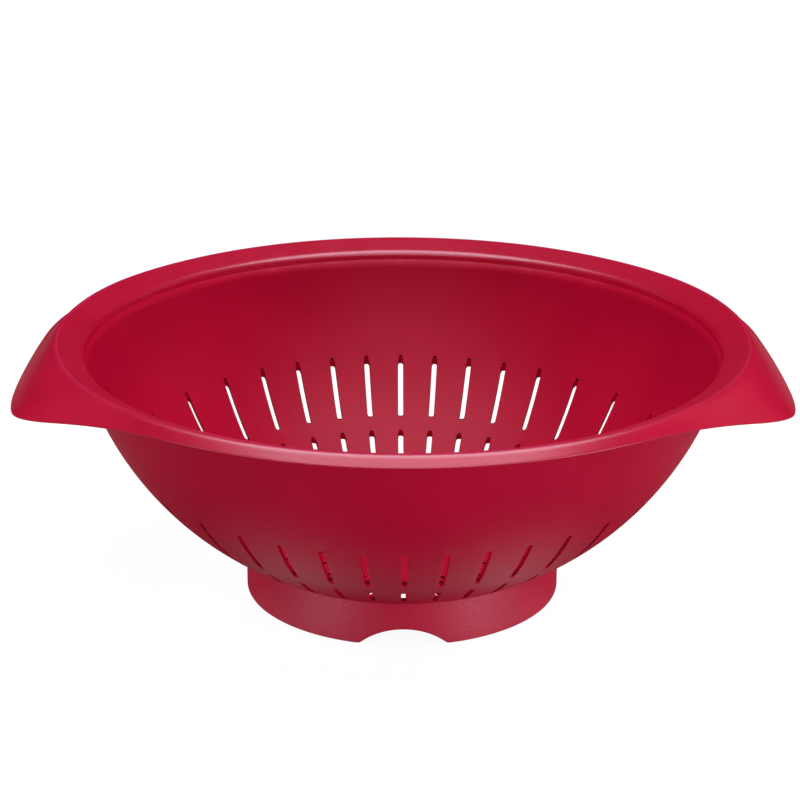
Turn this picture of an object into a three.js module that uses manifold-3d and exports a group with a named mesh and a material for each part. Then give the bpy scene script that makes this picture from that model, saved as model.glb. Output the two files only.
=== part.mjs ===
// Plastic salad colander, moulded in one piece: a round bowl with drain slots, an upturned rim
// whose outer lip widens into two drooping wing handles, and a foot ring with drain arches.
// Millimetres, +Z up. The origin is the middle of the foot ring's underside.
// The handles lie along X, and the front of the bowl faces -Y.

import * as THREE from 'three';
import { mergeVertices } from 'three/addons/utils/BufferGeometryUtils.js';
import Module from 'manifold-3d';

const wasm = await Module();
wasm.setup();

// Sheet of the moulding
const wall = 2;
const seamGap = 0.3;

// Bowl: a half ellipse turned about the axis, measured on its outside, with its bottom cut flat
const bowlRadius = 143;
const bowlDepth = 138.9;
const bowlBottomHeight = 1.8;
const floorHeight = 8;

// Rim: from the mouth the collar climbs outward to the crest, and the lip falls from there
const mouthHeight = 113.4;
const rimSeamBelowMouth = 3.5;
const collarReach = 11.8;
const collarRise = 4.9;
const lipReach = 5;
const lipDrop = 4;
const mouthRounding = 2;
const crestRounding = 3.8;
const edgeRounding = 0.7;

// Wing handles: straight flanks leave the lip on a tangent, wide corners follow, and a flat arc closes
// the end. A handle droops most at its middle, and its crest is sharper there.
const handleReach = 18.9;
const handleDrop = 25.8;
const handleEndRadius = 245;
const handleCornerRadius = 56;
const handleFlankAngle = THREE.MathUtils.degToRad(52.2);
const handleDroopAngle = THREE.MathUtils.degToRad(77.7);
const handleDroopSharpness = 2.5;
const handleCrestRounding = 1.4;
const handleLeastWidth = 1;

// Foot ring with an arch at the front and the back, as wide as the bowl asks for
const footShareOfBowl = 0.4868;
const footRadius = bowlRadius * footShareOfBowl;
const footWall = 2.2;
const footRootGap = 3;
const footEdgeBreak = 0.5;
const archHeight = 7.5;
const archHalfWidth = 18.6;
const archToeRadius = 2.5;

// Drain slots: two rings of them in the wall, in fans that narrow towards a point behind the axis.
// Heights are shares of the bowl's depth, and the front fan sets the pitch of all fans.
const slotWidth = 2.4;
const fanFocus = 50;
const upperSlotTopShare = 0.437;
const upperSlotFootShare = 0.272;
const lowerSlotTopShare = 0.234;
const lowerSlotToFoot = 5;
const frontFanHalfAngle = THREE.MathUtils.degToRad(58.1);
const frontFanSlots = 13;
const sideFanSlots = 5;

// Drain slots in the floor, as plain spokes
const floorSlotCount = 18;
const floorSlotToEdge = 5;
const floorSlotLength = 29;

// Fineness of the facets
const turnSteps = 72;
const bowlArcSteps = 6;
const floorArcSteps = 2;
const roundingSteps = 2;
const handleSteps = 36;
const slotEndSteps = 3;
const archSteps = 12;
const weldDistance = 1e-4;

// Colour and finish of the plastic
const plasticColour = '#b3062f';
const plasticRoughness = 0.42;

// Places that follow from the sizes above
const bowlCentreHeight = bowlBottomHeight + bowlDepth;
const mouthRadius = bowlRadiusAt(mouthHeight, wall);
const rimSeamHeight = mouthHeight - rimSeamBelowMouth;
const crestRadius = mouthRadius + collarReach;
const crestHeight = mouthHeight + collarRise;
const lipRadius = crestRadius + lipReach;
const footInnerRadius = footRadius - footWall;
const footSeamHeight = bowlHeightAt(footInnerRadius - footRootGap, 0);
const upperSlotOuterRadius = bowlRadiusAt(bowlBottomHeight + upperSlotTopShare * bowlDepth, 0);
const upperSlotInnerRadius = bowlRadiusAt(bowlBottomHeight + upperSlotFootShare * bowlDepth, 0);
const lowerSlotOuterRadius = bowlRadiusAt(bowlBottomHeight + lowerSlotTopShare * bowlDepth, 0);
const lowerSlotInnerRadius = footRadius + lowerSlotToFoot;
const slotPitch = (2 * upperSlotOuterRadius * Math.sin(frontFanHalfAngle)) / (frontFanSlots - 1);
const floorSlotOuterRadius = bowlRadiusAt(footSeamHeight, wall) - floorSlotToEdge;
const floorSlotInnerRadius = floorSlotOuterRadius - floorSlotLength;

// Outside radius of the bowl at a height, or the radius of its inside with the wall as the inset
function bowlRadiusAt(height, inset) {
  const share = (bowlCentreHeight - height) / (bowlDepth - inset);
  return (bowlRadius - inset) * Math.sqrt(1 - share * share);
}

// Height of the bowl's surface at a radius
function bowlHeightAt(radius, inset) {
  const share = radius / (bowlRadius - inset);
  return bowlCentreHeight - (bowlDepth - inset) * Math.sqrt(1 - share * share);
}

// Points of the bowl's section between two heights, evenly spaced round the ellipse
function bowlArc(fromHeight, toHeight, inset, steps) {
  const depth = bowlDepth - inset;
  const fromTurn = -Math.asin((bowlCentreHeight - fromHeight) / depth);
  const toTurn = -Math.asin((bowlCentreHeight - toHeight) / depth);
  const clockwise = toTurn < fromTurn;
  const arc = new THREE.EllipseCurve(
    0, bowlCentreHeight, bowlRadius - inset, depth, fromTurn, toTurn, clockwise);
  return arc.getPoints(steps);
}

// Body of revolution about Z from a section that runs anticlockwise, radius across and height up
function revolve(section) {
  const body = new THREE.LatheGeometry(section, turnSteps);
  body.rotateX(Math.PI / 2);
  return body;
}

// Geometry with shared corners and without the triangles that a revolve collapses on its axis
function weld(geometry) {
  const bare = geometry.clone();
  bare.deleteAttribute('normal');
  bare.deleteAttribute('uv');
  const welded = mergeVertices(bare, weldDistance);
  const corners = welded.index.array;
  const kept = [];
  for (let at = 0; at < corners.length; at += 3) {
    const [a, b, c] = corners.slice(at, at + 3);
    if (a !== b && b !== c && c !== a) {
      kept.push(a, b, c);
    }
  }
  welded.setIndex(kept);
  return welded;
}

function solidOf(geometry) {
  const welded = weld(geometry);
  const vertProperties = Float32Array.from(welded.attributes.position.array);
  const triVerts = Uint32Array.from(welded.index.array);
  return new wasm.Manifold(new wasm.Mesh({ numProp: 3, vertProperties, triVerts }));
}

function geometryOf(solid) {
  const mesh = solid.getMesh();
  const geometry = new THREE.BufferGeometry();
  geometry.setAttribute('position', new THREE.BufferAttribute(mesh.vertProperties, 3));
  geometry.setIndex(new THREE.BufferAttribute(mesh.triVerts, 1));
  return geometry;
}

// Body minus its cutters
function cut(geometry, cutters) {
  const cutter = cutters.map(solidOf).reduce((whole, piece) => whole.add(piece));
  return geometryOf(solidOf(geometry).subtract(cutter));
}

// Direction of a turn about the axis, counted from the front
function spoke(turn) {
  return new THREE.Vector2(Math.sin(turn), -Math.cos(turn));
}

// Closed body through like sections, each standing on its own spoke and running anticlockwise
function loft(turns, sectionAt, isRing) {
  const sections = turns.map(sectionAt);
  const size = sections[0].length;
  const positions = [];
  turns.forEach((turn, row) => {
    const out = spoke(turn);
    sections[row].forEach((point) => positions.push(point.x * out.x, point.x * out.y, point.y));
  });
  const corners = [];
  const lastRow = isRing ? turns.length : turns.length - 1;
  for (let row = 0; row < lastRow; row += 1) {
    const here = row * size;
    const next = ((row + 1) % turns.length) * size;
    for (let at = 0; at < size; at += 1) {
      const after = (at + 1) % size;
      corners.push(here + at, next + at, next + after);
      corners.push(here + at, next + after, here + after);
    }
  }
  if (!isRing) {
    const end = (turns.length - 1) * size;
    for (const [a, b, c] of THREE.ShapeUtils.triangulateShape(sections[0], [])) {
      corners.push(a, b, c);
    }
    for (const [a, b, c] of THREE.ShapeUtils.triangulateShape(sections[turns.length - 1], [])) {
      corners.push(end + a, end + c, end + b);
    }
  }
  const geometry = new THREE.BufferGeometry();
  geometry.setAttribute('position', new THREE.Float32BufferAttribute(positions, 3));
  geometry.setIndex(corners);
  return geometry;
}

// Points of a corner rounded by a curve that starts and ends the given distance from it
function roundedCorner(before, corner, after, distance) {
  const start = corner.clone().add(before.clone().sub(corner).setLength(distance));
  const end = corner.clone().add(after.clone().sub(corner).setLength(distance));
  return new THREE.QuadraticBezierCurve(start, corner, end).getPoints(roundingSteps);
}

// Angle between a turn and the nearer handle's middle line
function turnFromHandle(turn) {
  const quarter = Math.PI / 2;
  const folded = THREE.MathUtils.euclideanModulo(turn, Math.PI);
  return Math.abs(folded - quarter);
}

// Plan outline of one handle: the flank's line, the arc of the end, and the fillet between them
const handleEndCentre = crestRadius + handleReach - handleEndRadius;
const flankNormal = new THREE.Vector2(Math.cos(handleFlankAngle), Math.sin(handleFlankAngle));
const flankAlong = new THREE.Vector2(flankNormal.y, -flankNormal.x);
const cornerCentre = filletCentre();

// Middle of the corner's fillet, as far inside the flank's line as inside the arc of the end
function filletCentre() {
  const onLine = flankNormal.clone().multiplyScalar(lipRadius - handleCornerRadius);
  const fromEndCentre = onLine.clone().sub(new THREE.Vector2(handleEndCentre, 0));
  const half = fromEndCentre.dot(flankAlong);
  const rest = fromEndCentre.lengthSq() - (handleEndRadius - handleCornerRadius) ** 2;
  const along = -half + Math.sqrt(half * half - rest);
  return onLine.addScaledVector(flankAlong, along);
}

// Distance from the axis to a circle's far side, along a ray at an angle from the handle's middle
function rayToCircle(angle, centre, radius) {
  const along = centre.x * Math.cos(angle) + centre.y * Math.sin(angle);
  return along + Math.sqrt(radius * radius - centre.lengthSq() + along * along);
}

// Radius of the outer edge of lip and handles at an angle from the handle's middle
function edgeRadiusAt(angle) {
  if (angle >= handleFlankAngle) {
    return lipRadius;
  }
  const flankEnd = cornerCentre.clone().addScaledVector(flankNormal, handleCornerRadius);
  if (angle >= flankEnd.angle()) {
    return lipRadius / Math.cos(handleFlankAngle - angle);
  }
  const endCentre = new THREE.Vector2(handleEndCentre, 0);
  const outward = cornerCentre.clone().sub(endCentre).normalize();
  const endStart = cornerCentre.clone().addScaledVector(outward, handleCornerRadius);
  if (angle >= endStart.angle()) {
    return rayToCircle(angle, cornerCentre, handleCornerRadius);
  }
  return rayToCircle(angle, endCentre, handleEndRadius);
}

// Size that changes smoothly from a handle's middle to the lip between the handles
function eased(atHandle, atLip, angle) {
  const share = Math.min(angle / handleDroopAngle, 1);
  const ease = ((1 + Math.cos(Math.PI * share)) / 2) ** handleDroopSharpness;
  return atLip + (atHandle - atLip) * ease;
}

// Outer face of lip and handle in section: its points by radius, and the way square to it
function outerFace(turn) {
  const angle = turnFromHandle(turn);
  const crest = new THREE.Vector2(crestRadius, crestHeight);
  const edge = new THREE.Vector2(edgeRadiusAt(angle), crestHeight - eased(handleDrop, lipDrop, angle));
  const slope = edge.clone().sub(crest).normalize();
  const outward = new THREE.Vector2(-slope.y, slope.x);
  const under = outward.clone().multiplyScalar(-wall);
  const at = (radius) => crest.clone().addScaledVector(slope, (radius - crestRadius) / slope.x);
  return { crest, edge, slope, under, at };
}

// Where two lines of the section meet, each given by a point and a direction
function meeting(pointA, directionA, pointB, directionB) {
  const between = pointB.clone().sub(pointA);
  const share = between.cross(directionB) / directionA.cross(directionB);
  return pointA.clone().addScaledVector(directionA, share);
}

// Section of the rim: mouth, collar, crest and lip, with the hollow under the crest
function rimSection(turn) {
  const face = outerFace(turn);
  const rounding = eased(handleCrestRounding, crestRounding, turnFromHandle(turn));
  const innerSeam = new THREE.Vector2(bowlRadiusAt(rimSeamHeight, wall), rimSeamHeight);
  const outerSeam = new THREE.Vector2(bowlRadiusAt(rimSeamHeight, 0), rimSeamHeight);
  const mouth = new THREE.Vector2(mouthRadius, mouthHeight);
  const collar = face.crest.clone().sub(mouth).normalize();
  const collarUnder = new THREE.Vector2(collar.y, -collar.x).multiplyScalar(wall);
  const lipEdge = face.at(lipRadius);
  const lipUnder = lipEdge.clone().add(face.under);
  const collarBelow = mouth.clone().add(collarUnder);
  const hollow = meeting(lipUnder, face.slope, collarBelow, collar);
  const bowlSide = new THREE.Vector2(bowlRadiusAt(mouthHeight, 0), mouthHeight).sub(outerSeam);
  const root = meeting(outerSeam, bowlSide, collarBelow, collar);
  return [
    innerSeam,
    outerSeam,
    root,
    hollow,
    ...roundedCorner(hollow, lipUnder, lipEdge, edgeRounding),
    ...roundedCorner(lipUnder, lipEdge, face.crest, edgeRounding),
    ...roundedCorner(lipEdge, face.crest, mouth, rounding),
    ...roundedCorner(face.crest, mouth, innerSeam, mouthRounding),
  ];
}

// Section of a handle: the sheet goes on from the lip to the outer edge
function handleSection(turn) {
  const face = outerFace(turn);
  const start = face.at(lipRadius + seamGap);
  const startUnder = start.clone().add(face.under);
  const edgeUnder = face.edge.clone().add(face.under);
  return [
    startUnder,
    ...roundedCorner(startUnder, edgeUnder, face.edge, edgeRounding),
    ...roundedCorner(edgeUnder, face.edge, start, edgeRounding),
    start,
  ];
}

function rim() {
  const turns = Array.from({ length: turnSteps }, (_, step) => (2 * Math.PI * step) / turnSteps);
  return loft(turns, rimSection, true);
}

// Handle on one side; it ends where it has narrowed to its least width beyond the lip
function handle(middleTurn) {
  const endRadius = lipRadius + seamGap + handleLeastWidth;
  const halfSpan = handleFlankAngle - Math.acos(lipRadius / endRadius);
  const turns = Array.from({ length: handleSteps + 1 }, (_, step) => {
    return middleTurn + halfSpan * ((2 * step) / handleSteps - 1);
  });
  return loft(turns, handleSection, false);
}

// Upright cutter for a slot between two points of the plan, with round ends
function slotCutter(from, to) {
  const radius = slotWidth / 2;
  const span = to.clone().sub(from);
  const straight = span.length() - slotWidth;
  const outline = new THREE.Shape();
  outline.absarc(radius + straight, 0, radius, -Math.PI / 2, Math.PI / 2, false);
  outline.absarc(radius, 0, radius, Math.PI / 2, (3 * Math.PI) / 2, false);
  const cutter = new THREE.ExtrudeGeometry(outline, {
    depth: crestHeight,
    bevelEnabled: false,
    curveSegments: slotEndSteps,
  });
  cutter.rotateZ(span.angle());
  cutter.translate(from.x, from.y, 0);
  return cutter;
}

// Point of a fan's line at a distance from the axis; lines are numbered from the fan's middle
function fanPoint(line, radius) {
  const offset = line * slotPitch;
  const head = new THREE.Vector2(offset, -Math.sqrt(upperSlotOuterRadius ** 2 - offset ** 2));
  const inward = new THREE.Vector2(0, fanFocus).sub(head).normalize();
  const half = head.dot(inward);
  const along = -half - Math.sqrt(half * half - head.lengthSq() + radius * radius);
  return head.addScaledVector(inward, along);
}

// Cutters of one fan that faces a turn about the axis, with as many lines either side of its middle
function fanCutters(facing, slots) {
  const reach = (slots - 1) / 2;
  const rings = [
    [upperSlotOuterRadius, upperSlotInnerRadius],
    [lowerSlotOuterRadius, lowerSlotInnerRadius],
  ];
  const origin = new THREE.Vector2();
  const cutters = [];
  for (let line = -reach; line <= reach; line += 1) {
    for (const [outer, inner] of rings) {
      const from = fanPoint(line, outer).rotateAround(origin, facing);
      const to = fanPoint(line, inner).rotateAround(origin, facing);
      cutters.push(slotCutter(from, to));
    }
  }
  return cutters;
}

// Wall of the bowl, from the plane where floor and foot begin up to the rim
function bowlWall() {
  const section = [
    new THREE.Vector2(bowlRadiusAt(footSeamHeight, wall), footSeamHeight),
    new THREE.Vector2(bowlRadiusAt(footSeamHeight, 0), footSeamHeight),
    new THREE.Vector2(footInnerRadius, bowlHeightAt(footInnerRadius, 0)),
    new THREE.Vector2(footInnerRadius, footSeamHeight),
    new THREE.Vector2(footRadius, footSeamHeight),
    ...bowlArc(bowlHeightAt(footRadius, 0), rimSeamHeight, 0, bowlArcSteps),
    ...bowlArc(rimSeamHeight, footSeamHeight, wall, bowlArcSteps),
  ];
  const cutters = [
    ...fanCutters(0, frontFanSlots),
    ...fanCutters(Math.PI / 2, sideFanSlots),
    ...fanCutters(Math.PI, frontFanSlots),
    ...fanCutters(-Math.PI / 2, sideFanSlots),
  ];
  return cut(revolve(section), cutters);
}

// Floor of the bowl: a flat disc inside the foot with a rising margin
function bowlFloor() {
  const section = [
    new THREE.Vector2(0, floorHeight),
    ...bowlArc(floorHeight, footSeamHeight, 0, floorArcSteps),
    ...bowlArc(footSeamHeight, floorHeight + wall, wall, floorArcSteps),
    new THREE.Vector2(0, floorHeight + wall),
  ];
  const cutters = [];
  for (let number = 0; number < floorSlotCount; number += 1) {
    const out = spoke((2 * Math.PI * number) / floorSlotCount);
    const from = out.clone().multiplyScalar(floorSlotOuterRadius);
    const to = out.clone().multiplyScalar(floorSlotInnerRadius);
    cutters.push(slotCutter(from, to));
  }
  return cut(revolve(section), cutters);
}

// Cutter for the arches: a long bar across the foot, round on top, with eased toes
function archCutter() {
  const radius = (archHalfWidth ** 2 + archHeight ** 2) / (2 * archHeight);
  const halfTurn = Math.asin(archHalfWidth / radius);
  const toeReach = archHalfWidth + archToeRadius;
  const outline = new THREE.Shape();
  outline.moveTo(-toeReach, -archHeight);
  outline.lineTo(toeReach, -archHeight);
  outline.lineTo(toeReach, 0);
  outline.quadraticCurveTo(
    archHalfWidth, 0, archHalfWidth - archToeRadius * Math.cos(halfTurn), archToeRadius * Math.sin(halfTurn));
  const toeTurn = halfTurn - archToeRadius / radius;
  outline.absarc(0, archHeight - radius, radius, Math.PI / 2 - toeTurn, Math.PI / 2 + toeTurn, false);
  outline.lineTo(-archHalfWidth + archToeRadius * Math.cos(halfTurn), archToeRadius * Math.sin(halfTurn));
  outline.quadraticCurveTo(-archHalfWidth, 0, -toeReach, 0);
  const cutter = new THREE.ExtrudeGeometry(outline, {
    depth: 2 * crestRadius,
    bevelEnabled: false,
    curveSegments: archSteps,
  });
  cutter.translate(0, 0, -crestRadius);
  cutter.rotateX(Math.PI / 2);
  return cutter;
}

function footRing() {
  const section = [
    new THREE.Vector2(footInnerRadius + footEdgeBreak, 0),
    new THREE.Vector2(footRadius - footEdgeBreak, 0),
    new THREE.Vector2(footRadius, footEdgeBreak),
    new THREE.Vector2(footRadius, footSeamHeight),
    new THREE.Vector2(footInnerRadius, footSeamHeight),
    new THREE.Vector2(footInnerRadius, footEdgeBreak),
    new THREE.Vector2(footInnerRadius + footEdgeBreak, 0),
  ];
  return cut(revolve(section), [archCutter()]);
}

function named(name, geometry) {
  const material = new THREE.MeshStandardMaterial({
    color: plasticColour,
    roughness: plasticRoughness,
    metalness: 0,
  });
  const mesh = new THREE.Mesh(geometry, material);
  mesh.name = name;
  return mesh;
}

const colander = new THREE.Group();
colander.add(
  named('bowl_wall', bowlWall()),
  named('bowl_floor', bowlFloor()),
  named('rim', rim()),
  named('handle_left', handle(-Math.PI / 2)),
  named('handle_right', handle(Math.PI / 2)),
  named('foot_ring', footRing()),
);

export default colander;
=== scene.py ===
# Looks of a plastic colander, moulded in one piece: a bowl with fanned drain slots, an upturned
# rim that widens into two drooping wing handles, and a foot ring with a drain arch front and back.
# Metres, +Z up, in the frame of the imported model. The handles lie along X, the front faces -Y.

import math

import bmesh
import bpy
import numpy as np
from mathutils import Matrix, Vector
from mathutils.geometry import delaunay_2d_cdt

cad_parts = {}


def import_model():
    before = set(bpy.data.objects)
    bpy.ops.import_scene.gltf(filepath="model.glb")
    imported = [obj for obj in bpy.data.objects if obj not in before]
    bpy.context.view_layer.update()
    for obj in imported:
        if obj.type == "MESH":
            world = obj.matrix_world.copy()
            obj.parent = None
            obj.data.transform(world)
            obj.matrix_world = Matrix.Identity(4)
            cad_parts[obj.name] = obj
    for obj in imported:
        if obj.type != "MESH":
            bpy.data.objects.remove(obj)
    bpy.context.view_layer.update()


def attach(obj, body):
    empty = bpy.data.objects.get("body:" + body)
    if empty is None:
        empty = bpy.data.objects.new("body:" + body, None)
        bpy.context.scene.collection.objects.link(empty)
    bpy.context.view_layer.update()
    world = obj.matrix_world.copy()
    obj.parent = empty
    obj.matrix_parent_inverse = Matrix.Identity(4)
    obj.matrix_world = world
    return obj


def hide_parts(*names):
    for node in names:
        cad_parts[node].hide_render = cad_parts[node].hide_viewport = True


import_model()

MM = 0.001
BODY = "root"

# Sheet of the moulding
WALL = 2 * MM

# Bowl: a half ellipse turned about the axis, measured on its outside, with a flat floor
BOWL_RADIUS = 143 * MM
BOWL_DEPTH = 138.9 * MM
BOWL_BOTTOM_HEIGHT = 1.8 * MM
FLOOR_HEIGHT = 8 * MM
FLOOR_EASE = 2 * MM
BOWL_CENTRE_HEIGHT = BOWL_BOTTOM_HEIGHT + BOWL_DEPTH

# Rim: from the mouth the collar climbs outward to the crest, and the lip falls from there to a level
# end. The crest has a painted highlight, a paler crimson, where its faces look up at least as straight as
# the given level.
MOUTH_HEIGHT = 113.4 * MM
RIM_SEAM_HEIGHT = 109.9 * MM
COLLAR_REACH = 11.8 * MM
COLLAR_RISE = 4.9 * MM
LIP_REACH = 5 * MM
LIP_DROP = 4 * MM
LIP_EDGE_DROP = 0.7 * MM
MOUTH_ROUNDING = 2.2 * MM
POLISH_BELOW_MOUTH = 1.3 * MM
CREST_ROUNDING = 2.6 * MM
HANDLE_CREST_ROUNDING = 1.7 * MM
CREST_HIGHLIGHT_LEVEL = 0.97
EDGE_ROUNDING = 0.85 * MM
HOLLOW_ROUNDING = 1.5 * MM

# Wing handles: straight flanks leave the lip on a tangent, wide corners follow, and a flat arc closes
# the end. A handle droops most at its middle, and its crest is sharper there.
HANDLE_REACH = 18.9 * MM
HANDLE_DROP = 25.8 * MM
HANDLE_END_RADIUS = 245 * MM
HANDLE_CORNER_RADIUS = 56 * MM
HANDLE_FLANK_ANGLE = math.radians(52.2)
HANDLE_DROOP_ANGLE = math.radians(77.7)
HANDLE_DROOP_SHARPNESS = 2.5

# Foot ring, sunk a little into the bowl that it grows out of
FOOT_RADIUS = 69.6 * MM
FOOT_WALL = 2.2 * MM
FOOT_SINK = 0.6 * MM
FOOT_EDGE_ROUNDING = 0.5 * MM
ARCH_HEIGHT = 7.5 * MM
ARCH_HALF_WIDTH = 18.6 * MM
ARCH_TOE_EASE = 0.5 * MM

# Drain slots: two rings of them in the wall, in fans that narrow towards a point behind the axis
SLOT_HALF_WIDTH = 1.2 * MM
SLOT_EDGE_ROUNDING = 0.35 * MM
SLOT_PITCH = 16.7 * MM
FRONT_FAN_REACH = 6
SIDE_FAN_REACH = 2
FAN_FOCUS = 50 * MM
UPPER_SLOT_TOP_HEIGHT = 62.5 * MM
UPPER_SLOT_FOOT_HEIGHT = 39.6 * MM
LOWER_SLOT_TOP_HEIGHT = 34.3 * MM
LOWER_SLOT_TO_FOOT = 5 * MM
FLOOR_SLOT_COUNT = 18
FLOOR_SLOT_OUTER_RADIUS = 54.7 * MM
FLOOR_SLOT_INNER_RADIUS = 25.7 * MM

# Moulded plastic: from darkest to palest, plain and paler for the crest's painted highlight, with soft
# clouds and a fine grain
CRIMSON = ((0.40, 0.0015, 0.025, 1), (0.45, 0.003, 0.031, 1))
# Paler crimson that paints a highlight on the crest
CREST_HIGHLIGHT_CRIMSON = ((0.455, 0.007, 0.05, 1), (0.505, 0.011, 0.06, 1))
GLOSS_TINT = (1, 0.82, 1, 1)
PLASTIC_IOR = 1.49
CLOUD_SCALE = 35
GRAIN_SCALE = 900
NOISE_DETAIL = 3
GRAIN_SHARE = 0.35
DARKEST_TONE = 0.3
PALEST_TONE = 0.7
GRAIN_DEPTH = 0.2 * MM

# Fineness of the meshes
RIM_TURN_STEPS = 480
BOWL_TURN_STEPS = 240
FOOT_TURN_STEPS = 720
BOWL_POINT_SPACING = 4 * MM
SLOT_CLEARANCE = 1.3 * MM
SLOT_END_STEPS = 8
SLOT_SIDE_STEPS = 8
SLOT_ROUNDING_STEPS = 3
PROFILE_SAMPLES = 1500
FEWEST_RING_POINTS = 6
MOUTH_STEPS = 6
COLLAR_STEPS = 4
CREST_STEPS = 10
OUTER_FACE_STEPS = 6
EDGE_STEPS = 4
UNDERSIDE_STEPS = 4
HOLLOW_STEPS = 4
ROOT_STEPS = 3
FOOT_EDGE_STEPS = 4
FOOT_SIDE_STEPS = 4

# Small values that keep tests and divisions safe, and the way that flat outlines are filled
SEAM_TOLERANCE = MM / 100
LEAST_RADIUS = MM / 1000
FLAT_TOLERANCE = 1e-6
FILL_WHOLE_HULL = 0

# Camera, fitted to the rim, foot, handles and bowl outline of the photograph
CAMERA_DISTANCE = 950 * MM
CAMERA_HEIGHT = 425.7 * MM
CAMERA_PITCH = math.radians(19.71)
CAMERA_HEADING = math.radians(-0.58)
CAMERA_ROLL = math.radians(0.25)
FOCAL_PIXELS = 2299
IMAGE_PIXELS = 800
MIDDLE_PIXEL_ACROSS = 402.8
MIDDLE_PIXEL_DOWN = 400.5
SENSOR_WIDTH = 36

# Studio: the light and the background of the world, then the floor with its shade, its glow to the
# camera, and the soft white patches, at the front and the back of each side, that reflections show
WHITE = (1, 1, 1, 1)
WORLD_LIGHT = 0.01
BACKGROUND_LIGHT = 1
FLOOR_HALF_SIZE = 550 * MM
FLOOR_BELOW_FOOT = 0.1 * MM
FLOOR_SHADE = 0.2
FLOOR_GLOW = 0.93
PATCH_DEPTH = 15 * MM
FRONT_PATCH_ASIDE = 58 * MM
FRONT_PATCH_FORWARD = 85 * MM
FRONT_PATCH_RADIUS = 88 * MM
LEFT_PATCH_STRENGTH = 1.1
RIGHT_PATCH_STRENGTH = 1.35
BACK_PATCH_ASIDE = 125 * MM
BACK_PATCH_BACKWARD = 90 * MM
BACK_PATCH_RADIUS = 75 * MM
BACK_PATCH_STRENGTH = 0.3


# Outside radius of the bowl at a height, or the radius of its inside with the wall as the inset
def bowl_radius_at(height, inset):
    share = (BOWL_CENTRE_HEIGHT - height) / (BOWL_DEPTH - inset)
    return (BOWL_RADIUS - inset) * math.sqrt(1 - share * share)


# Height of the bowl's surface at a radius: the ellipse, eased into the flat floor
def bowl_height_at(radius, inset):
    share = radius / (BOWL_RADIUS - inset)
    ellipse = BOWL_CENTRE_HEIGHT - (BOWL_DEPTH - inset) * np.sqrt(1 - share * share)
    flat = FLOOR_HEIGHT + inset
    return (flat + ellipse + np.sqrt((flat - ellipse) ** 2 + FLOOR_EASE ** 2)) / 2


# Direction of a turn about the axis, counted from the front
def spoke(turn):
    return np.array([math.sin(turn), -math.cos(turn)])


# Smooth mesh object from points and faces, with its faces turned outward
def new_piece(name, points, faces, material):
    mesh = bpy.data.meshes.new(name)
    mesh.from_pydata([tuple(point) for point in points], [], faces)
    shape = bmesh.new()
    shape.from_mesh(mesh)
    bmesh.ops.recalc_face_normals(shape, faces=shape.faces)
    shape.to_mesh(mesh)
    shape.free()
    mesh.shade_smooth()
    mesh.materials.append(material)
    piece = bpy.data.objects.new(name, mesh)
    bpy.context.scene.collection.objects.link(piece)
    return piece


# Points of a corner rounded by a curve that starts and ends the given distance from it
def rounded_corner(before, corner, after, distance, steps):
    start = corner + (before - corner).normalized() * distance
    end = corner + (after - corner).normalized() * distance
    points = []
    for step in range(steps + 1):
        share = step / steps
        points.append(start * (1 - share) ** 2 + corner * 2 * share * (1 - share) + end * share ** 2)
    return points


# Points between two corners of a section, without the corners
def stretch(start, end, steps):
    return [start.lerp(end, step / steps) for step in range(1, steps)]


mouth_radius = bowl_radius_at(MOUTH_HEIGHT, WALL)
crest = Vector((mouth_radius + COLLAR_REACH, MOUTH_HEIGHT + COLLAR_RISE))
lip_radius = crest.x + LIP_REACH


# Angle between a turn and the nearer handle's middle line
def turn_from_handle(turn):
    return abs(turn % math.pi - math.pi / 2)


# Middle of the fillet between a handle's straight flank and the arc of its end
def handle_corner_centre():
    normal = Vector((math.cos(HANDLE_FLANK_ANGLE), math.sin(HANDLE_FLANK_ANGLE)))
    along = Vector((normal.y, -normal.x))
    on_line = normal * (lip_radius - HANDLE_CORNER_RADIUS)
    from_end_centre = on_line - handle_end_centre
    half = from_end_centre.dot(along)
    rest = from_end_centre.length_squared - (HANDLE_END_RADIUS - HANDLE_CORNER_RADIUS) ** 2
    return on_line + along * (math.sqrt(half * half - rest) - half)


handle_end_centre = Vector((crest.x + HANDLE_REACH - HANDLE_END_RADIUS, 0))
handle_corner = handle_corner_centre()


# Distance from the axis to a circle's far side, along a ray at an angle from the handle's middle
def ray_to_circle(angle, centre, radius):
    along = centre.x * math.cos(angle) + centre.y * math.sin(angle)
    return along + math.sqrt(radius * radius - centre.length_squared + along * along)


# Radius of the outer edge of lip and handles at an angle from the handle's middle
def edge_radius_at(angle):
    if angle >= HANDLE_FLANK_ANGLE:
        return lip_radius
    normal = Vector((math.cos(HANDLE_FLANK_ANGLE), math.sin(HANDLE_FLANK_ANGLE)))
    flank_end = handle_corner + normal * HANDLE_CORNER_RADIUS
    if angle >= math.atan2(flank_end.y, flank_end.x):
        return lip_radius / math.cos(HANDLE_FLANK_ANGLE - angle)
    outward = (handle_corner - handle_end_centre).normalized()
    end_start = handle_corner + outward * HANDLE_CORNER_RADIUS
    if angle >= math.atan2(end_start.y, end_start.x):
        return ray_to_circle(angle, handle_corner, HANDLE_CORNER_RADIUS)
    return ray_to_circle(angle, handle_end_centre, HANDLE_END_RADIUS)


# Size that changes smoothly from the handle's middle to the lip between the handles
def eased(at_handle, at_lip, angle):
    share = min(angle / HANDLE_DROOP_ANGLE, 1)
    ease = ((1 + math.cos(math.pi * share)) / 2) ** HANDLE_DROOP_SHARPNESS
    return at_lip + (at_handle - at_lip) * ease


# Where two lines of the section meet, each given by a point and a direction
def meeting(point_a, direction_a, point_b, direction_b):
    share = (point_b - point_a).cross(direction_b) / direction_a.cross(direction_b)
    return point_a + direction_a * share


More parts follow.
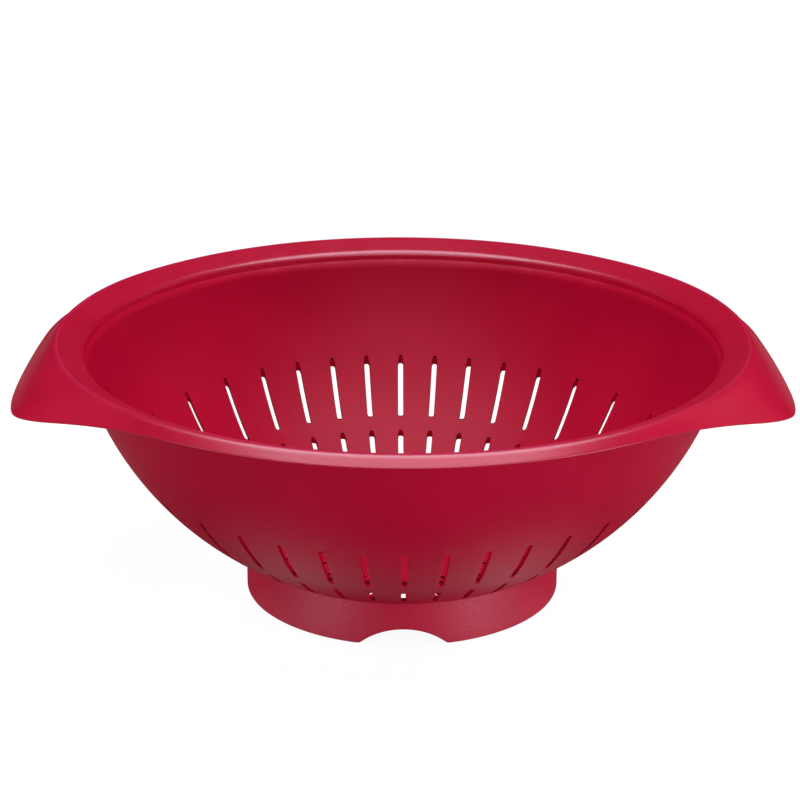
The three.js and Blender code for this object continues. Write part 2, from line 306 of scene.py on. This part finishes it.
# Section of rim and handles at a turn: mouth, collar, crest, outer face and edge, and back beneath
# them. The edge is cut square to the outer face on a handle and level on the lip.
def rim_section(turn):
    angle = turn_from_handle(turn)
    drop = eased(HANDLE_DROP, LIP_DROP + LIP_EDGE_DROP, angle)
    edge = Vector((edge_radius_at(angle), crest.y - drop))
    crest_rounding = eased(HANDLE_CREST_ROUNDING, CREST_ROUNDING, angle)
    slope = (edge - crest).normalized()
    square_cut = Vector((slope.y, -slope.x)) * WALL
    level_cut = Vector((WALL / slope.y, 0))
    under = square_cut.lerp(level_cut, eased(0, 1, angle))
    inner_seam = Vector((bowl_radius_at(RIM_SEAM_HEIGHT, WALL), RIM_SEAM_HEIGHT))
    outer_seam = Vector((bowl_radius_at(RIM_SEAM_HEIGHT, 0), RIM_SEAM_HEIGHT))
    mouth = Vector((mouth_radius, MOUTH_HEIGHT))
    collar = (crest - mouth).normalized()
    collar_under = mouth + Vector((collar.y, -collar.x)) * WALL
    edge_under = edge + under
    hollow = meeting(edge_under, slope, collar_under, collar)
    bowl_side_way = Vector((bowl_radius_at(MOUTH_HEIGHT, 0), MOUTH_HEIGHT)) - outer_seam
    root = meeting(outer_seam, bowl_side_way, collar_under, collar)
    mouth_curve = rounded_corner(inner_seam, mouth, crest, MOUTH_ROUNDING, MOUTH_STEPS)
    crest_curve = rounded_corner(mouth, crest, edge, crest_rounding, CREST_STEPS)
    edge_curve = rounded_corner(crest, edge, edge_under, EDGE_ROUNDING, EDGE_STEPS)
    under_curve = rounded_corner(edge, edge_under, hollow, EDGE_ROUNDING, EDGE_STEPS)
    hollow_curve = rounded_corner(edge_under, hollow, root, HOLLOW_ROUNDING, HOLLOW_STEPS)
    return [
        inner_seam,
        *mouth_curve,
        *stretch(mouth_curve[-1], crest_curve[0], COLLAR_STEPS),
        *crest_curve,
        *stretch(crest_curve[-1], edge_curve[0], OUTER_FACE_STEPS),
        *edge_curve,
        *under_curve,
        *stretch(under_curve[-1], hollow_curve[0], UNDERSIDE_STEPS),
        *hollow_curve,
        *stretch(hollow_curve[-1], root, ROOT_STEPS),
        root,
        outer_seam,
    ]


# Closed ring through like sections, one for each turn about the axis
def ring(section_at, turn_steps):
    points = []
    faces = []
    for step in range(turn_steps):
        turn = 2 * math.pi * step / turn_steps
        out = spoke(turn)
        section = section_at(turn)
        size = len(section)
        points.extend((point.x * out[0], point.x * out[1], point.y) for point in section)
        here = step * size
        there = (step + 1) % turn_steps * size
        for at in range(size):
            after = (at + 1) % size
            faces.append((here + at, there + at, there + after, here + after))
    return points, faces


# Rim with its handles: the stretches that carry on the bowl's wall have the bowl's finish, and the
# crest gets a painted highlight, a paler crimson, where it looks straight up
def rim_and_handles(finish, bowl_finish, worn_finish):
    piece = new_piece("rim_and_handles", *ring(rim_section, RIM_TURN_STEPS), finish)
    finishes = piece.data.materials
    finishes.append(bowl_finish)
    finishes.append(worn_finish)
    polish_height = MOUTH_HEIGHT - POLISH_BELOW_MOUTH
    for face in piece.data.polygons:
        corners = [piece.data.vertices[corner].co for corner in face.vertices]
        if all(corner.z < polish_height and corner.xy.length < BOWL_RADIUS for corner in corners):
            face.material_index = finishes.find(bowl_finish.name)
        # Crest faces that look straight up get the paler crimson as a painted highlight
        elif face.normal.z > CREST_HIGHLIGHT_LEVEL:
            face.material_index = finishes.find(worn_finish.name)
    return piece


# Underside of the foot at a distance from the middle plane: an arch, eased into the flat at its toes
def arch_height_at(across):
    radius = (ARCH_HALF_WIDTH ** 2 + ARCH_HEIGHT ** 2) / (2 * ARCH_HEIGHT)
    if abs(across) >= radius:
        return 0
    arc = ARCH_HEIGHT - radius + math.sqrt(radius ** 2 - across ** 2)
    return (arc + math.sqrt(arc ** 2 + ARCH_TOE_EASE ** 2)) / 2


# Section of the foot ring at a turn, from its inner lower edge round to its inner side
def foot_section(turn):
    inner_radius = FOOT_RADIUS - FOOT_WALL
    across = math.sin(turn)
    inner_low = Vector((inner_radius, arch_height_at(inner_radius * across)))
    outer_low = Vector((FOOT_RADIUS, arch_height_at(FOOT_RADIUS * across)))
    outer_top = Vector((FOOT_RADIUS, bowl_height_at(FOOT_RADIUS, 0) + FOOT_SINK))
    outer_neck = outer_top - Vector((0, FOOT_SINK / 2))
    inner_top = Vector((inner_radius, bowl_height_at(inner_radius, 0) + FOOT_SINK))
    inner_curve = rounded_corner(inner_top, inner_low, outer_low, FOOT_EDGE_ROUNDING, FOOT_EDGE_STEPS)
    outer_curve = rounded_corner(inner_low, outer_low, outer_top, FOOT_EDGE_ROUNDING, FOOT_EDGE_STEPS)
    return [
        *inner_curve,
        *outer_curve,
        *stretch(outer_curve[-1], outer_neck, FOOT_SIDE_STEPS),
        outer_neck,
        outer_top,
        inner_top,
        *stretch(inner_top, inner_curve[0], FOOT_SIDE_STEPS),
    ]


upper_slot_outer = bowl_radius_at(UPPER_SLOT_TOP_HEIGHT, 0)
upper_slot_inner = bowl_radius_at(UPPER_SLOT_FOOT_HEIGHT, 0)
lower_slot_outer = bowl_radius_at(LOWER_SLOT_TOP_HEIGHT, 0)
lower_slot_inner = FOOT_RADIUS + LOWER_SLOT_TO_FOOT


# Point of a fan's line at a distance from the axis; lines are numbered from the fan's middle
def fan_point(line, radius):
    offset = line * SLOT_PITCH
    head = np.array([offset, -math.sqrt(upper_slot_outer ** 2 - offset ** 2)])
    inward = np.array([0, FAN_FOCUS]) - head
    inward /= np.linalg.norm(inward)
    half = head @ inward
    along = -half - math.sqrt(half * half - head @ head + radius * radius)
    return head + along * inward


# Ends of the slots of one fan that faces a turn about the axis, as many either side of its middle
def fan_slots(facing, reach):
    turned = np.array([[math.cos(facing), -math.sin(facing)], [math.sin(facing), math.cos(facing)]])
    slots = []
    for line in range(-reach, reach + 1):
        for outer, inner in ((upper_slot_outer, upper_slot_inner), (lower_slot_outer, lower_slot_inner)):
            slots.append((turned @ fan_point(line, outer), turned @ fan_point(line, inner)))
    return slots


# Ends of the spoke slots in the floor
def floor_slots():
    slots = []
    for number in range(FLOOR_SLOT_COUNT):
        out = spoke(2 * math.pi * number / FLOOR_SLOT_COUNT)
        slots.append((out * FLOOR_SLOT_OUTER_RADIUS, out * FLOOR_SLOT_INNER_RADIUS))
    return slots


# Plan outline of a slot, grown by an offset, with round ends
def slot_outline(slot, offset):
    start, end = slot
    along = (end - start) / np.linalg.norm(end - start)
    side = np.array([-along[1], along[0]])
    middles = (start + along * SLOT_HALF_WIDTH, end - along * SLOT_HALF_WIDTH)
    reach = SLOT_HALF_WIDTH + offset
    points = []
    for middle, way in ((middles[1], 1), (middles[0], -1)):
        for step in range(SLOT_END_STEPS + 1):
            turn = math.pi * step / SLOT_END_STEPS
            points.append(middle + way * reach * (math.sin(turn) * along - math.cos(turn) * side))
        other = middles[0] if way > 0 else middles[1]
        for step in range(1, SLOT_SIDE_STEPS):
            share = step / SLOT_SIDE_STEPS
            points.append(middle + (other - middle) * share + way * reach * side)
    return np.array(points)


# Rings of points that round a slot's edge, from the bowl's surface on to the slot's upright side
def slot_rings(slot, inset):
    way = -1 if inset else 1
    corner = slot_outline(slot, 0)
    outside = slot_outline(slot, SLOT_EDGE_ROUNDING)
    corner_height = bowl_height_at(np.hypot(*corner.T), inset)
    outside_height = bowl_height_at(np.hypot(*outside.T), inset)
    side_height = corner_height + way * SLOT_EDGE_ROUNDING
    rings = []
    for step in range(SLOT_ROUNDING_STEPS + 1):
        share = step / SLOT_ROUNDING_STEPS
        near = (1 - share) ** 2
        plan = corner + (outside - corner) * near
        height = outside_height * near + corner_height * 2 * share * (1 - share) + side_height * share ** 2
        rings.append(np.column_stack([plan, height]))
    return rings


# Distance in plan from points to a slot's middle line
def distance_to_slot(points, slot):
    start, end = slot
    span = end - start
    share = np.clip((points - start) @ span / (span @ span), 0, 1)
    return np.linalg.norm(points - start - share[:, None] * span, axis=1)


# Evenly spread plan points on one side of the bowl, in rings, clear of the slots
def bowl_spread(chart, radii, slots):
    ring_count = round(chart[-1] / BOWL_POINT_SPACING)
    points = [np.zeros((1, 2))]
    for number in range(1, ring_count):
        radius = np.interp(chart[-1] * number / ring_count, chart, radii)
        count = max(FEWEST_RING_POINTS, round(2 * math.pi * radius / BOWL_POINT_SPACING))
        turns = 2 * math.pi * (np.arange(count) + 0.5 * (number % 2)) / count
        points.append(radius * np.column_stack([np.sin(turns), -np.cos(turns)]))
    spread = np.vstack(points)
    least = SLOT_HALF_WIDTH + SLOT_EDGE_ROUNDING + SLOT_CLEARANCE
    for slot in slots:
        spread = spread[distance_to_slot(spread, slot) > least]
    return spread


# One side of the bowl's sheet as points and triangles: the mouth's circle first, then each slot's edge
def bowl_side(slots, inset):
    top_radius = bowl_radius_at(RIM_SEAM_HEIGHT, inset)
    radii = np.linspace(0, top_radius, PROFILE_SAMPLES)
    heights = bowl_height_at(radii, inset)
    chart = np.concatenate([[0], np.cumsum(np.hypot(np.diff(radii), np.diff(heights)))])
    turns = 2 * math.pi * np.arange(BOWL_TURN_STEPS) / BOWL_TURN_STEPS
    loops = [top_radius * np.column_stack([np.sin(turns), -np.cos(turns)])]
    loops.extend(slot_outline(slot, SLOT_EDGE_ROUNDING) for slot in slots)
    plan = np.vstack([*loops, bowl_spread(chart, radii, slots)])
    edges = []
    first = 0
    for loop in loops:
        size = len(loop)
        edges.extend((first + at, first + (at + 1) % size) for at in range(size))
        first += size
    radius = np.hypot(*plan.T)
    growth = np.interp(radius, radii, chart) / np.maximum(radius, LEAST_RADIUS)
    flat = [Vector(point) for point in plan * growth[:, None] / MM]
    filled = delaunay_2d_cdt(flat, edges, [], FILL_WHOLE_HULL, FLAT_TOLERANCE)
    _, _, triangles, sources, _, _ = filled
    number = [source[0] for source in sources]
    triangles = np.array([[number[corner] for corner in triangle] for triangle in triangles])
    middles = plan[triangles].mean(axis=1)
    inside = np.zeros(len(triangles), bool)
    for start, end in slots:
        along = (end - start) / np.linalg.norm(end - start) * SLOT_HALF_WIDTH
        inside |= distance_to_slot(middles, (start + along, end - along)) < SLOT_HALF_WIDTH
    points = np.column_stack([plan, bowl_height_at(radius, inset)])
    return points, triangles[~inside]


# Sheet of the bowl with its slots: outside, inside, the sides of the slots and the seam under the rim
def bowl(material):
    slots = [
        *fan_slots(0, FRONT_FAN_REACH),
        *fan_slots(math.pi / 2, SIDE_FAN_REACH),
        *fan_slots(math.pi, FRONT_FAN_REACH),
        *fan_slots(-math.pi / 2, SIDE_FAN_REACH),
        *floor_slots(),
    ]
    outside, outside_faces = bowl_side(slots, 0)
    inside, inside_faces = bowl_side(slots, WALL)
    points = [*outside, *inside]
    shift = len(outside)
    faces = [tuple(face) for face in outside_faces]
    faces.extend(tuple(face + shift) for face in inside_faces)
    for at in range(BOWL_TURN_STEPS):
        after = (at + 1) % BOWL_TURN_STEPS
        faces.append((at, after, shift + after, shift + at))
    size = len(slot_outline(slots[0], 0))
    for number, slot in enumerate(slots):
        first = BOWL_TURN_STEPS + number * size
        rows = [list(range(first, first + size))]
        for edge_ring in [*slot_rings(slot, 0)[1:], *reversed(slot_rings(slot, WALL)[1:])]:
            rows.append(list(range(len(points), len(points) + size)))
            points.extend(edge_ring)
        rows.append(list(range(shift + first, shift + first + size)))
        for row, below in zip(rows, rows[1:]):
            for at in range(size):
                after = (at + 1) % size
                faces.append((row[at], row[after], below[after], below[at]))
    return new_piece("bowl", points, faces, material)


# Edges at the seam plane stay sharp, so that the sheet's shading runs straight into it
def sharpen_seam(piece):
    mesh = piece.data
    shape = bmesh.new()
    shape.from_mesh(mesh)
    for edge in shape.edges:
        heights = [abs(vert.co.z - RIM_SEAM_HEIGHT) for vert in edge.verts]
        if max(heights) < SEAM_TOLERANCE:
            edge.smooth = False
    shape.to_mesh(mesh)
    shape.free()


# Large faces lead the shading, so that flat stretches look flat
def weigh_normals(piece):
    weights = piece.modifiers.new("even_shading", "WEIGHTED_NORMAL")
    weights.mode = "FACE_AREA"
    weights.keep_sharp = True


# Crimson polypropylene with a fine moulded grain; the gloss, its roughness and the grain differ by surface
def plastic(name, gloss, roughness_from, roughness_to, grain_strength, colours=CRIMSON):
    material = bpy.data.materials.new(name)
    material.use_nodes = True
    nodes = material.node_tree.nodes
    links = material.node_tree.links
    shader = nodes["Principled BSDF"]
    shader.inputs["Metallic"].default_value = 0
    shader.inputs["IOR"].default_value = PLASTIC_IOR
    shader.inputs["Specular IOR Level"].default_value = gloss
    shader.inputs["Specular Tint"].default_value = GLOSS_TINT
    place = nodes.new("ShaderNodeTexCoord")

    cloud = nodes.new("ShaderNodeTexNoise")
    cloud.inputs["Scale"].default_value = CLOUD_SCALE
    cloud.inputs["Detail"].default_value = NOISE_DETAIL
    links.new(place.outputs["Object"], cloud.inputs["Vector"])
    speckle = nodes.new("ShaderNodeTexNoise")
    speckle.inputs["Scale"].default_value = GRAIN_SCALE
    speckle.inputs["Detail"].default_value = NOISE_DETAIL
    links.new(place.outputs["Object"], speckle.inputs["Vector"])

    tone = nodes.new("ShaderNodeMix")
    tone.data_type = "FLOAT"
    tone.inputs["Factor"].default_value = GRAIN_SHARE
    links.new(cloud.outputs["Fac"], tone.inputs["A"])
    links.new(speckle.outputs["Fac"], tone.inputs["B"])
    colour = nodes.new("ShaderNodeValToRGB")
    tones = zip(colour.color_ramp.elements, (DARKEST_TONE, PALEST_TONE), colours)
    for element, position, shade in tones:
        element.position = position
        element.color = shade
    links.new(tone.outputs["Result"], colour.inputs["Fac"])
    links.new(colour.outputs["Color"], shader.inputs["Base Color"])

    finish = nodes.new("ShaderNodeMapRange")
    finish.inputs["To Min"].default_value = roughness_from
    finish.inputs["To Max"].default_value = roughness_to
    links.new(tone.outputs["Result"], finish.inputs["Value"])
    links.new(finish.outputs["Result"], shader.inputs["Roughness"])

    grain = nodes.new("ShaderNodeBump")
    grain.inputs["Strength"].default_value = grain_strength
    grain.inputs["Distance"].default_value = GRAIN_DEPTH
    links.new(speckle.outputs["Fac"], grain.inputs["Height"])
    links.new(grain.outputs["Normal"], shader.inputs["Normal"])
    return material


# Sum of the floor's soft round patches, which fade from their middles to nothing
def floor_patches(nodes, links):
    place = nodes.new("ShaderNodeTexCoord")
    back = (BACK_PATCH_ASIDE, BACK_PATCH_BACKWARD, BACK_PATCH_RADIUS, BACK_PATCH_STRENGTH)
    patches = None
    for side, front_strength in ((-1, LEFT_PATCH_STRENGTH), (1, RIGHT_PATCH_STRENGTH)):
        front = (FRONT_PATCH_ASIDE, -FRONT_PATCH_FORWARD, FRONT_PATCH_RADIUS, front_strength)
        for aside, backward, radius, strength in (front, back):
            spread = nodes.new("ShaderNodeMapping")
            spread.vector_type = "TEXTURE"
            spread.inputs["Location"].default_value = (side * aside, backward, -PATCH_DEPTH)
            spread.inputs["Scale"].default_value = (radius, radius, radius)
            links.new(place.outputs["Object"], spread.inputs["Vector"])
            patch = nodes.new("ShaderNodeTexGradient")
            patch.gradient_type = "QUADRATIC_SPHERE"
            links.new(spread.outputs["Vector"], patch.inputs["Vector"])
            total = nodes.new("ShaderNodeMath")
            total.operation = "MULTIPLY_ADD"
            total.inputs[1].default_value = strength
            total.inputs[2].default_value = 0
            links.new(patch.outputs["Fac"], total.inputs[0])
            if patches is not None:
                links.new(patches, total.inputs[2])
            patches = total.outputs["Value"]
    return patches


# Matte floor that glows white to the camera and, in its patches, to reflections
def floor_material():
    material = bpy.data.materials.new("studio_floor")
    material.use_nodes = True
    nodes = material.node_tree.nodes
    links = material.node_tree.links
    nodes.remove(nodes["Principled BSDF"])
    matte = nodes.new("ShaderNodeBsdfDiffuse")
    matte.inputs["Color"].default_value = (FLOOR_SHADE, FLOOR_SHADE, FLOOR_SHADE, 1)
    glow = nodes.new("ShaderNodeEmission")
    glow.inputs["Color"].default_value = (FLOOR_GLOW, FLOOR_GLOW, FLOOR_GLOW, 1)
    rays = nodes.new("ShaderNodeLightPath")
    seen = nodes.new("ShaderNodeMath")
    seen.operation = "MULTIPLY_ADD"
    links.new(rays.outputs["Is Glossy Ray"], seen.inputs[0])
    links.new(floor_patches(nodes, links), seen.inputs[1])
    links.new(rays.outputs["Is Camera Ray"], seen.inputs[2])
    links.new(seen.outputs["Value"], glow.inputs["Strength"])
    both = nodes.new("ShaderNodeAddShader")
    links.new(matte.outputs["BSDF"], both.inputs[0])
    links.new(glow.outputs["Emission"], both.inputs[1])
    links.new(both.outputs["Shader"], nodes["Material Output"].inputs["Surface"])
    return material


# Studio floor, just below the foot
def floor():
    half = FLOOR_HALF_SIZE
    low = -FLOOR_BELOW_FOOT
    corners = [(-half, -half, low), (half, -half, low), (half, half, low), (-half, half, low)]
    plane = new_piece("studio_floor", corners, [(0, 1, 2, 3)], floor_material())


# Faint even light for the colander, and a white background for the camera
def world():
    surround = bpy.data.worlds.new("studio")
    bpy.context.scene.world = surround
    surround.use_nodes = True
    nodes = surround.node_tree.nodes
    links = surround.node_tree.links
    lighting = nodes["Background"]
    lighting.inputs["Color"].default_value = WHITE
    lighting.inputs["Strength"].default_value = WORLD_LIGHT
    white = nodes.new("ShaderNodeBackground")
    white.inputs["Color"].default_value = WHITE
    white.inputs["Strength"].default_value = BACKGROUND_LIGHT
    rays = nodes.new("ShaderNodeLightPath")
    mix = nodes.new("ShaderNodeMixShader")
    links.new(rays.outputs["Is Camera Ray"], mix.inputs["Fac"])
    links.new(lighting.outputs["Background"], mix.inputs[1])
    links.new(white.outputs["Background"], mix.inputs[2])
    links.new(mix.outputs["Shader"], nodes["World Output"].inputs["Surface"])


# Soft light at a place, turned to a target; a fill light doesn't show in reflections, and a sheen light
# shows only there
def softbox(name, place, target, width, depth, watts, is_fill=False, is_sheen=False):
    lamp = bpy.data.lights.new(name, "AREA")
    lamp.shape = "RECTANGLE"
    lamp.size = width
    lamp.size_y = depth
    lamp.energy = watts
    box = bpy.data.objects.new(name, lamp)
    box.visible_glossy = not is_fill
    box.visible_diffuse = not is_sheen
    box.location = place
    box.rotation_euler = (Vector(target) - Vector(place)).to_track_quat("-Z", "Y").to_euler()
    bpy.context.scene.collection.objects.link(box)


# Like soft lights at the right and the left, each with its own power; the place is that of the right one
def softbox_pair(name, place, target, width, depth, right_watts, left_watts, is_fill=False):
    for side_name, side, watts in (("right", 1, right_watts), ("left", -1, left_watts)):
        side_place = (side * place[0], *place[1:])
        side_target = (side * target[0], *target[1:])
        softbox(f"{side_name}_{name}", side_place, side_target, width, depth, watts, is_fill)


# Camera at the photograph's place
def camera():
    lens = bpy.data.cameras.new("camera")
    lens.sensor_width = SENSOR_WIDTH
    lens.lens = SENSOR_WIDTH * FOCAL_PIXELS / IMAGE_PIXELS
    lens.shift_x = (IMAGE_PIXELS / 2 - MIDDLE_PIXEL_ACROSS) / IMAGE_PIXELS
    lens.shift_y = (MIDDLE_PIXEL_DOWN - IMAGE_PIXELS / 2) / IMAGE_PIXELS
    viewer = bpy.data.objects.new("camera", lens)
    bpy.context.scene.collection.objects.link(viewer)
    heading = Matrix.Rotation(CAMERA_HEADING, 4, "Z")
    place = Matrix.Translation((0, -CAMERA_DISTANCE, CAMERA_HEIGHT))
    tilt = Matrix.Rotation(math.pi / 2 - CAMERA_PITCH, 4, "X")
    roll = Matrix.Rotation(CAMERA_ROLL, 4, "Z")
    viewer.matrix_world = heading @ place @ tilt @ roll
    bpy.context.scene.camera = viewer


camera()
world()
floor()
softbox("overhead", place=(0, -0.01, 0.82), target=(0, -0.01, 0), width=0.88, depth=0.48, watts=6.4)
softbox(
    "lip_sheen", place=(0, -0.42, 0.8), target=(0, -0.15, 0.1),
    width=0.88, depth=0.34, watts=1.9, is_sheen=True,
)
softbox("key", place=(0, -0.75, 0.62), target=(0, -0.1, 0.1), width=0.6, depth=0.3, watts=0.9)
softbox_pair(
    "box", place=(0.87, -0.68, 0.08), target=(0, 0, 0.05),
    width=0.5, depth=0.16, right_watts=7.9, left_watts=5.4,
)
softbox_pair(
    "high_fill", place=(0.9, 0.45, 0.5), target=(0.1, 0, 0.1),
    width=0.3, depth=0.3, right_watts=3.6, left_watts=2.5, is_fill=True,
)
softbox(
    "back_fill", place=(0, 1.1, 0.13), target=(0, 0, 0.1),
    width=0.5, depth=0.2, watts=3, is_fill=True,
)
softbox_pair(
    "fill", place=(1, 0.45, 0.13), target=(0, 0, 0.1),
    width=0.5, depth=0.2, right_watts=2.8, left_watts=2.2, is_fill=True,
)

satin = plastic(
    "satin_crimson_plastic", gloss=0.15, roughness_from=0.36, roughness_to=0.48, grain_strength=0.08,
)
polished = plastic(
    "polished_crimson_plastic", gloss=1, roughness_from=0.26, roughness_to=0.36, grain_strength=0.28,
)
# Paler crimson plastic that paints a highlight on the crest
worn = plastic(
    "worn_crimson_plastic", gloss=1, roughness_from=0.26, roughness_to=0.36, grain_strength=0.28,
    colours=CREST_HIGHLIGHT_CRIMSON,
)
grained = plastic(
    "grained_crimson_plastic", gloss=0.8, roughness_from=0.3, roughness_to=0.42, grain_strength=0.8,
)
pieces = {
    bowl(satin): ("bowl_wall", "bowl_floor"),
    rim_and_handles(polished, satin, worn): ("rim", "handle_left", "handle_right"),
    new_piece("foot_ring_moulded", *ring(foot_section, FOOT_TURN_STEPS), grained): ("foot_ring",),
}
for piece, nodes in pieces.items():
    sharpen_seam(piece)
    weigh_normals(piece)
    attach(piece, BODY)
    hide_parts(*nodes)

bpy.context.scene.view_settings.view_transform = "Standard"
